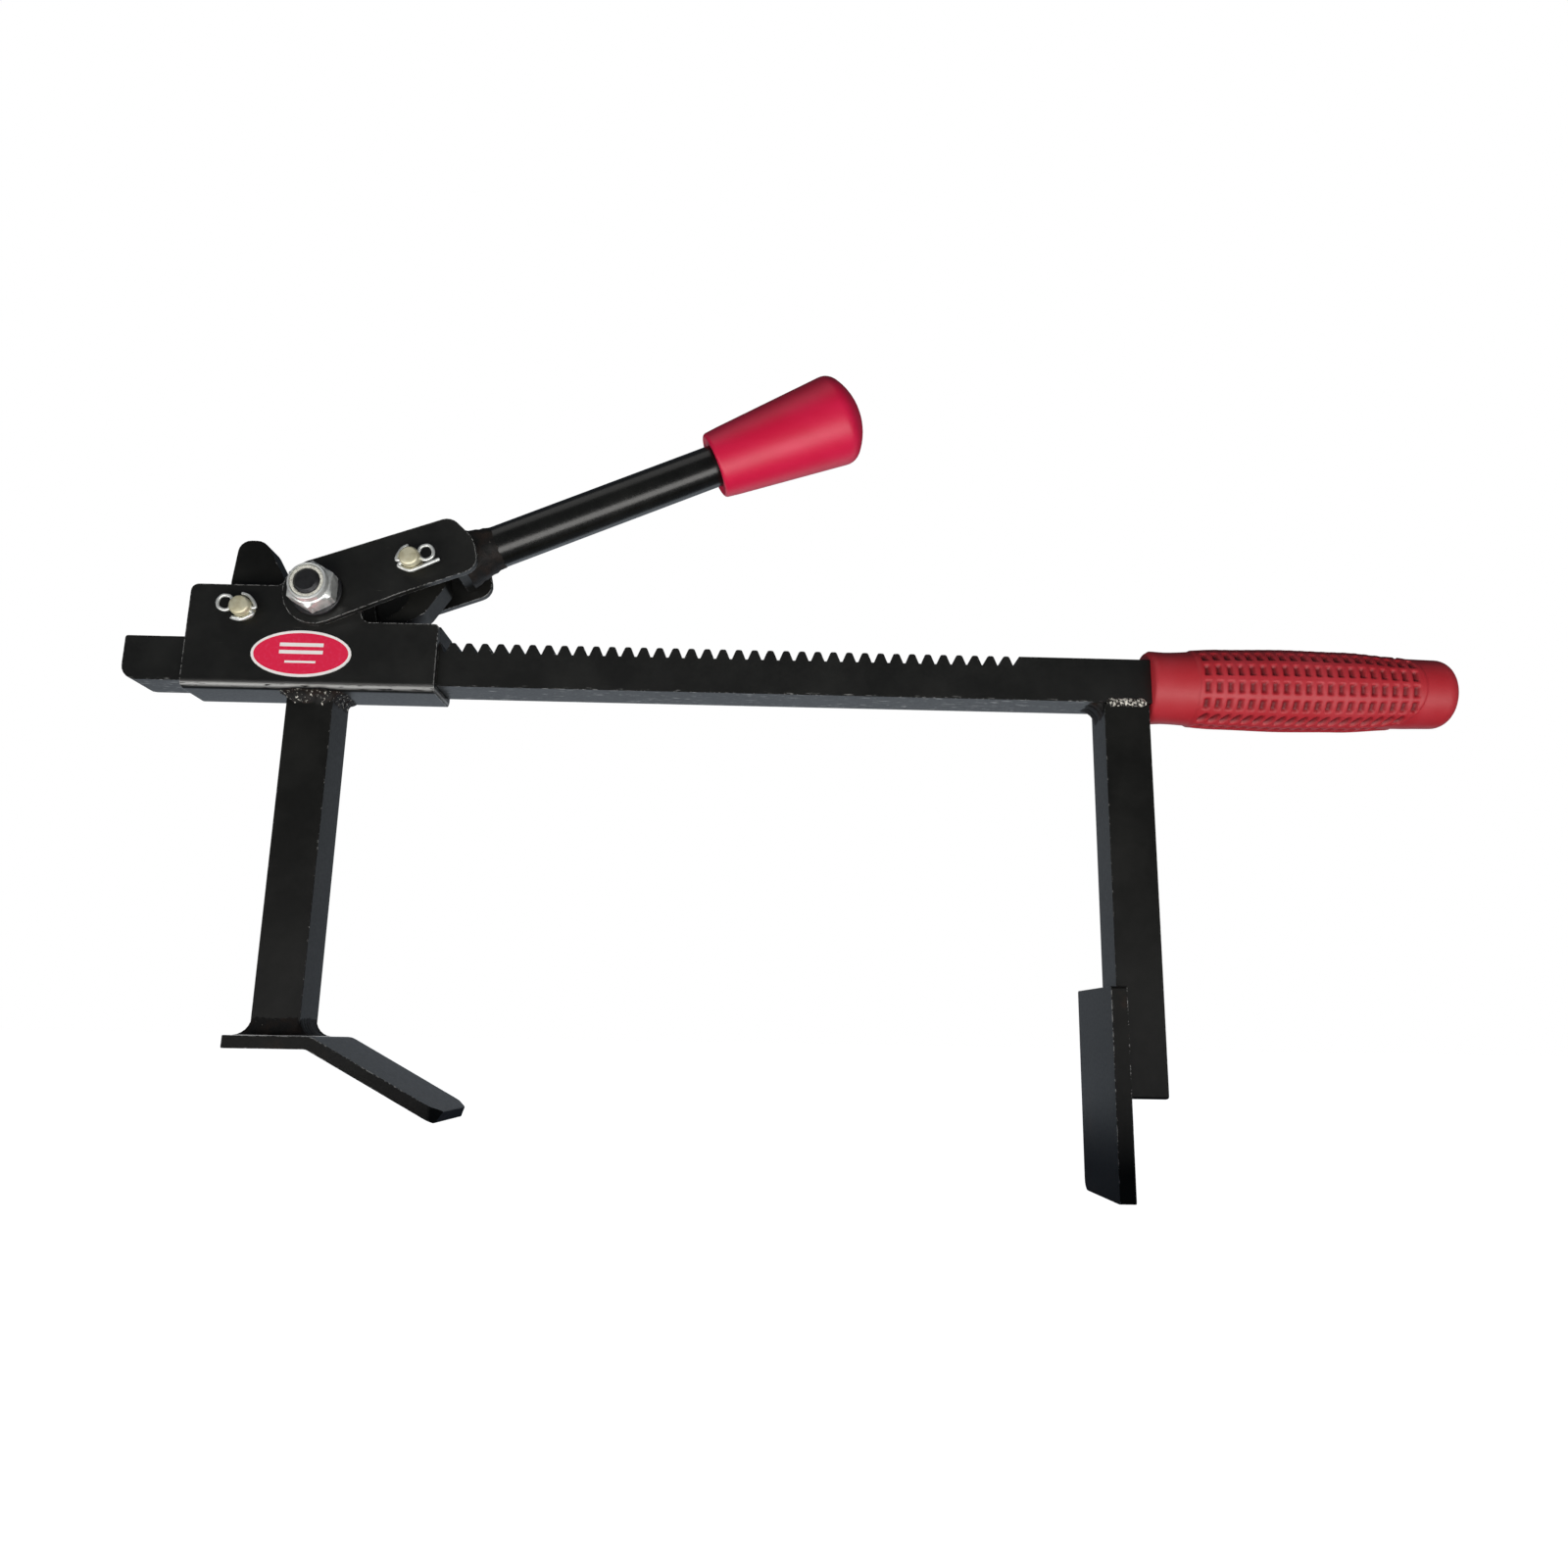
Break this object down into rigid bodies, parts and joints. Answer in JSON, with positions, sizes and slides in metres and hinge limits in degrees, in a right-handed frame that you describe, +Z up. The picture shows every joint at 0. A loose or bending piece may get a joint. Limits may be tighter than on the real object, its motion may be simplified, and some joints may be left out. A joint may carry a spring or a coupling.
{
  "type": "strapping tensioner tool",
  "caption": "Hand strapping tensioner: a toothed bar with a fixed arm and grip, and a carriage with an arm, foot, pawls and a knobbed lever that racks along it.",
  "frame": {"origin": "centre of the bottom of the bounding box at rest, level with the end of the fixed foot plate", "axes": "+X along the toothed bar towards the grip, +Z up from the feet to the lever, +Y away from the side with the nut and the label"},
  "size_m": [0.5304, 0.053, 0.3304],
  "materials": {
    "painted_steel": "satin black paint over steel bar and sheet",
    "painted_weld": "rough painted weld metal with a few bare specks",
    "zinc_plate": "bright zinc plate",
    "yellow_zinc": "pale yellow passivated zinc",
    "dark_steel": "black oxide steel",
    "grip_rubber": "dark red matt rubber with a pimpled panel",
    "knob_plastic": "crimson semi-gloss plastic",
    "nylon": "off-white nylon",
    "label_film": "red printed film label with a white border"
  },
  "bodies": {
    "frame": {"rack_bar": "painted_steel", "fixed_arm": "painted_steel", "fixed_foot_plate": "painted_steel", "bar_grip": "grip_rubber", "fixed_arm_corner_weld": "painted_weld", "fixed_arm_seam_weld_front": "painted_weld", "fixed_arm_seam_weld_back": "painted_weld", "fixed_foot_weld_front": "painted_weld", "fixed_foot_weld_back": "painted_weld"},
    "carriage": {"housing_channel": "painted_steel", "guide_bridge": "painted_steel", "sliding_arm": "painted_steel", "sliding_foot": "painted_steel", "sliding_arm_weld": "painted_weld", "sliding_foot_weld": "painted_weld", "label": "label_film", "pivot_bush": "dark_steel", "pivot_bolt": "dark_steel", "pivot_washer_back": "dark_steel", "pivot_washer_front": "dark_steel", "pivot_nut": "zinc_plate", "pivot_nut_nylon_ring": "nylon", "holding_pawl_pin": "yellow_zinc", "holding_pawl_cotter": "zinc_plate", "holding_pawl_spacer": "dark_steel", "holding_pawl_spring": "zinc_plate"},
    "lever": {"lever_plate_front": "painted_steel", "lever_plate_back": "painted_steel", "lever_web": "painted_steel", "lever_rod": "painted_steel", "lever_rod_weld": "painted_weld", "lever_knob": "knob_plastic", "drive_pawl_pin": "yellow_zinc", "drive_pawl_cotter": "zinc_plate", "drive_pawl_spacer_front": "dark_steel", "drive_pawl_spacer_back": "dark_steel", "drive_pawl_spring": "zinc_plate"},
    "holding_pawl": {"holding_pawl": "dark_steel"},
    "drive_pawl": {"drive_pawl": "dark_steel"}
  },
  "joints": [
    {"name": "carriage_slide", "type": "slide", "parent": "frame", "child": "carriage", "axis": [1, 0, 0], "range_m": [-0.02, 0.238]},
    {"name": "lever_hinge", "type": "hinge", "parent": "carriage", "child": "lever", "pos_m": [-0.1896, 0.00225, 0.2234], "axis": [0, -1, 0], "range_deg": [-18, 60]},
    {"name": "holding_pawl_hinge", "type": "hinge", "parent": "carriage", "child": "holding_pawl", "pos_m": [-0.2185, 0.00225, 0.2165], "axis": [0, -1, 0], "range_deg": [0, 18], "stiffness_Nm_per_rad": 0.2, "springref_deg": -20.05},
    {"name": "drive_pawl_hinge", "type": "hinge", "parent": "lever", "child": "drive_pawl", "pos_m": [-0.15362, 0.00225, 0.23723], "axis": [0, -1, 0], "range_deg": [-10.5, 34]}
  ],
  "couplings": [
    {"joint": "drive_pawl_hinge", "follows": "lever_hinge", "ratio": 0.55}
  ]
}
